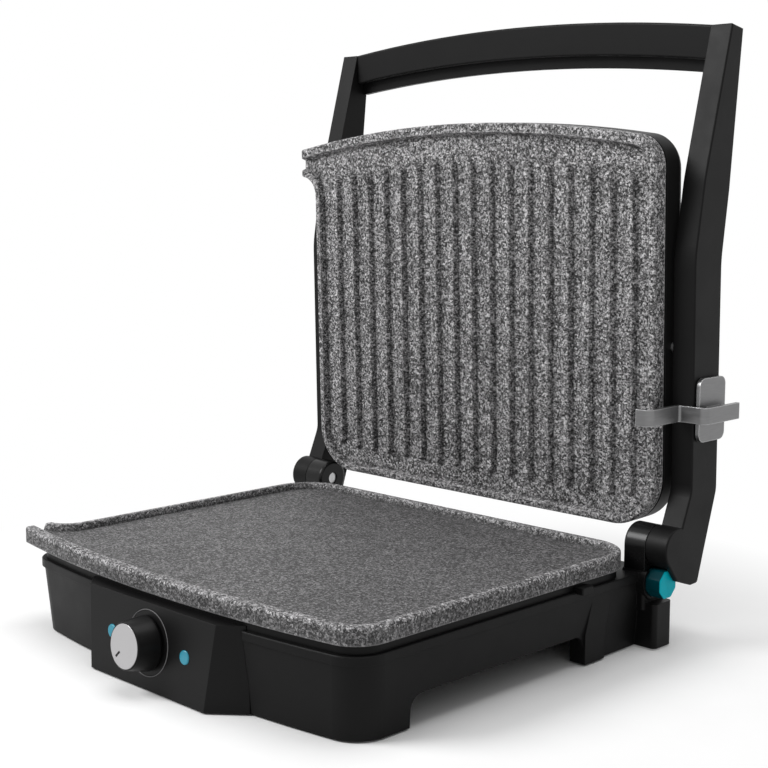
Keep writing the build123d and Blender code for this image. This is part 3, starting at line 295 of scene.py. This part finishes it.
def stone_coating(name, low, high, grain, basin_shade_span=None):
    """Grey non-stick coating with light and dark speckles, a painted highlight on crests and painted
    shade in grooves.

    Where basin_shade_span is given, painted shade darkens the coating from its first height down to its
    second.
    """
    shader = Shader(name, roughness=0.62, specular=0.22)
    fine = shader.noise(grain * 1.9, 3.0, 0.65)
    blend = speckles(shader, fine, grain)
    stops = (
        (0.26, grey(low * 0.10)),
        (0.41, grey(low * 0.58)),
        (0.52, grey((low + high) / 2 * 0.92)),
        (0.63, grey(high * 1.22)),
        (0.78, grey(high * 2.6)),
    )
    tone = shader.ramp(blend, stops)
    # Painted highlight: outer edges and rib crests made paler.
    crest_highlight = shader.math("MULTIPLY", shader.crests(STONE_CREST_HIGHLIGHT, 0.15, 0.55), 0.62)
    tone = shader.mix(crest_highlight, tone, grey(high * 2.0))
    # Painted shade: corners and the foot of ribs made darker.
    groove_shade = shader.math("MULTIPLY", shader.grooves(STONE_GROOVE_SHADE, 0.10, 0.50), 0.75)
    tone = shader.mix(groove_shade, tone, grey(low * 0.15))
    if basin_shade_span:
        # Painted shade: the basin floor made darker below the rim.
        height = shader.part(shader.coords, 2)
        basin_shade = shader.math("MULTIPLY", shader.span(height, *basin_shade_span), 0.56)
        tone = shader.mix(basin_shade, tone, grey(low * 0.2))
    shader.colour(tone)
    shader.rough(shader.span(fine, 0.3, 0.7, 0.50, 0.72))
    shader.relief(blend, 0.45, 0.0004, STONE_EDGE)
    return shader.material


def black_plastic(name, tone, roughness, specular, grain_depth=0.00006, round_edges=PLASTIC_EDGE):
    """Moulded plastic with a fine spark-eroded texture and faint handling marks."""
    shader = Shader(name, specular=specular)
    grain = shader.noise(2600.0, 2.0, 0.6)
    cloud = shader.span(shader.noise(18.0, 3.0), 0.3, 0.7)
    shader.colour(shader.mix(cloud, grey(tone * 0.86), grey(tone * 1.14)))
    worn = shader.noise(45.0, 4.0, 0.6)
    shader.rough(shader.span(worn, 0.3, 0.75, roughness - 0.05, roughness + 0.06))
    shader.relief(grain, 0.4, grain_depth, round_edges)
    return shader.material


def brushed_metal(name, tone, roughness, stretch, tint=(1.0, 1.0, 1.01), crest_highlight_tone=None):
    """Steel with brush lines; crest_highlight_tone is the tone of a painted highlight on its outer
    edges.
    """
    shader = Shader(name, metallic=1.0, roughness=roughness)
    lines = shader.noise(1.0, 3.0, 0.6, shader.mapped(scale=stretch))
    brushed = shader.mix(shader.span(lines, 0.3, 0.7), grey(tone * 0.9, tint), grey(tone * 1.1, tint))
    if crest_highlight_tone:
        # Painted highlight: outer edges made brighter.
        brushed = shader.mix(shader.crests(METAL_CREST_HIGHLIGHT, 0.25, 0.6), brushed, grey(crest_highlight_tone, tint))
    shader.colour(brushed)
    shader.rough(shader.span(lines, 0.3, 0.7, roughness * 0.85, roughness * 1.15))
    shader.relief(lines, 0.15, 0.00005, METAL_EDGE)
    return shader.material


def turned_disc(name, centre, turn):
    """Satin disc with fine concentric turning lines."""
    shader = Shader(name, metallic=0.85, roughness=0.34)
    rings = shader.node("ShaderNodeTexWave", wave_type="RINGS", rings_direction="Z")
    rings.inputs["Scale"].default_value = 900.0
    rings.inputs["Distortion"].default_value = 0.6
    shader.link(shader.mapped(move=centre, turn=turn), rings.inputs["Vector"])
    value = rings.outputs["Fac"]
    shader.colour(shader.mix(value, grey(0.40), grey(0.50)))
    shader.rough(shader.span(value, 0.0, 1.0, 0.30, 0.40))
    shader.relief(value, 0.12, 0.00004, 0.0004)
    return shader.material


def tinted_plastic(name, dark, light, roughness, specular, glow=None, shaded_flank=None):
    """Coloured plastic; shaded_flank is painted shade, a deeper colour on the faces that look away from
    +X.
    """
    shader = Shader(name, roughness=roughness, specular=specular)
    tone = shader.mix(shader.span(shader.noise(140.0, 3.0), 0.3, 0.7), dark, light)
    if shaded_flank:
        normal = shader.node("ShaderNodeNewGeometry").outputs["Normal"]
        # Painted shade: faces turned away from +X get the darker colour.
        tone = shader.mix(shader.span(shader.part(normal, 0), 0.3, 0.8), shaded_flank, tone)
    shader.colour(tone)
    shader.rough(shader.span(shader.noise(420.0), 0.3, 0.7, roughness - 0.04, roughness + 0.05))
    shader.relief(shader.noise(1800.0), 0.15, 0.00004, 0.0006)
    if glow:
        colour, strength = glow
        shader.bsdf.inputs["Emission Color"].default_value = (*colour, 1.0)
        shader.bsdf.inputs["Emission Strength"].default_value = strength
    return shader.material


def rubber(name):
    shader = Shader(name, specular=0.2)
    dust = shader.noise(120.0, 4.0, 0.6)
    shader.colour(shader.mix(shader.span(dust, 0.35, 0.75), grey(0.012), grey(0.028)))
    shader.rough(shader.span(dust, 0.3, 0.7, 0.78, 0.92))
    shader.relief(shader.noise(1500.0), 0.4, 0.0001, 0.0005)
    return shader.material


def ceramic(name):
    shader = Shader(name, roughness=0.6)
    specks = shader.cells(900.0)
    shader.colour(shader.mix(specks, (0.72, 0.69, 0.63), (0.82, 0.80, 0.76)))
    shader.rough(shader.span(specks, 0.0, 1.0, 0.55, 0.7))
    shader.relief(shader.noise(700.0), 0.3, 0.0001, 0.0004)
    return shader.material


def floor_material():
    """Pale floor that takes the shadow near the object and turns plain white further out."""
    shader = Shader("floor", roughness=0.9, specular=0.0)
    specks = shader.span(shader.noise(30.0, 3.0), 0.3, 0.7)
    shader.colour(shader.mix(specks, *(grey(tone, WHITE) for tone in FLOOR_TONES)))
    length = shader.node("ShaderNodeVectorMath", operation="LENGTH")
    shader.link(shader.coords, length.inputs[0])
    far = shader.span(length.outputs["Value"], FADE_START, FADE_END)
    white = shader.node("ShaderNodeEmission")
    white.inputs["Strength"].default_value = 1.0
    mix = shader.node("ShaderNodeMixShader")
    out = shader.tree.nodes["Material Output"]
    shader.link(far, mix.inputs[0])
    shader.link(shader.bsdf.outputs[0], mix.inputs[1])
    shader.link(white.outputs[0], mix.inputs[2])
    shader.link(mix.outputs[0], out.inputs[0])
    return shader.material


def plastic_materials():
    return {
        "black_plastic": black_plastic("black_plastic", 0.0050, 0.44, 0.11),
        "panel_plastic": black_plastic("panel_plastic", 0.0055, 0.38, 0.12),
        "gloss_black": black_plastic("gloss_black", 0.005, 0.24, 0.22, 0.00002),
        "knob_plastic": black_plastic("knob_plastic", 0.0035, 0.34, 0.12),
        "mark_black": black_plastic("mark_black", 0.008, 0.5, 0.2),
        "teal_plastic": tinted_plastic(
            "teal_plastic", (0.0005, 0.36, 0.43), (0.0005, 0.42, 0.51), 0.34, 0.06,
            shaded_flank=(0.0003, 0.035, 0.045),
        ),
        "lamp_lens": tinted_plastic(
            "lamp_lens", (0.01, 0.16, 0.23), (0.03, 0.22, 0.30), 0.2, 0.3,
            glow=((0.05, 0.35, 0.45), 0.12),
        ),
        "foot_rubber": rubber("foot_rubber"),
        "terminal_ceramic": ceramic("terminal_ceramic"),
    }


def metal_materials():
    return {
        "pan_steel": brushed_metal("pan_steel", 0.6, 0.42, (60, 900, 60)),
        "element_steel": brushed_metal("element_steel", 0.26, 0.55, (300, 300, 300), (1.0, 0.96, 0.9)),
        "screw_steel": brushed_metal("screw_steel", 0.52, 0.36, (900, 900, 90)),
        "latch_steel": brushed_metal("latch_steel", 0.19, 0.38, (120, 120, 2200), crest_highlight_tone=0.55),
        "disc_metal": turned_disc("disc_metal", KNOB_CENTRE, (radians(90) + KNOB_LEAN, 0, 0)),
    }


def plate_materials():
    """The two cooking plates, by node name."""
    return {
        "lower_plate": stone_coating("stone_lower", 0.112, 0.265, 860.0, LOWER_BASIN_SHADE_SPAN),
        "upper_plate": stone_coating("stone_upper", 0.080, 0.28, 820.0),
    }


def dress_nodes():
    """Each node gets its own material where it has one, and otherwise the one of its slot."""
    by_slot = plastic_materials() | metal_materials()
    by_node = plate_materials()
    slots = {entry["node"]: entry["material_slot"] for entry in frame["record"]["subparts"]}
    for name, node in NODES.items():
        material = by_node.get(name) or by_slot[slots[name]]
        if not node.material_slots:
            node.data.materials.append(material)
        for entry in node.material_slots:
            entry.material = material


# ---------------------------------------------------------------- pieces of the scene
def add_knob_highlight_ring():
    """Pale ring round the knob on the sloping panel, a painted highlight on the edge of the step there.
    """
    bpy.ops.mesh.primitive_torus_add(
        location=KNOB_CENTRE,
        rotation=(radians(90) - KNOB_LEAN, 0.0, 0.0),
        major_radius=RING_RADIUS,
        minor_radius=RING_WIDTH / 2,
        major_segments=RING_SEGMENTS,
        minor_segments=RING_SIDES,
    )
    ring = bpy.context.object
    ring.name = "knob_highlight_ring"
    ring.data.name = "knob_highlight_ring"
    # Pale plastic for the ring: painted highlight on the step round the knob.
    ring.data.materials.append(black_plastic("ring_highlight_plastic", 0.16, 0.5, 0.2, 0.00002, 0.0))
    for face in ring.data.polygons:
        face.use_smooth = True
    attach(ring, "base")


def add_floor():
    corners = [(x * FLOOR_HALF, y * FLOOR_HALF, 0) for x, y in ((-1, -1), (1, -1), (1, 1), (-1, 1))]
    mesh = bpy.data.meshes.new("floor")
    mesh.from_pydata(corners, [], [(0, 1, 2, 3)])
    floor = bpy.data.objects.new("floor", mesh)
    floor.location = (0.0, 0.0, -FLOOR_DROP)
    bpy.context.scene.collection.objects.link(floor)
    mesh.materials.append(floor_material())


add_camera()
add_world()
for light in LIGHTS:
    add_light(*light)
add_floor()
dress_nodes()
add_knob_highlight_ring()
bpy.context.scene.view_settings.view_transform = "Standard"
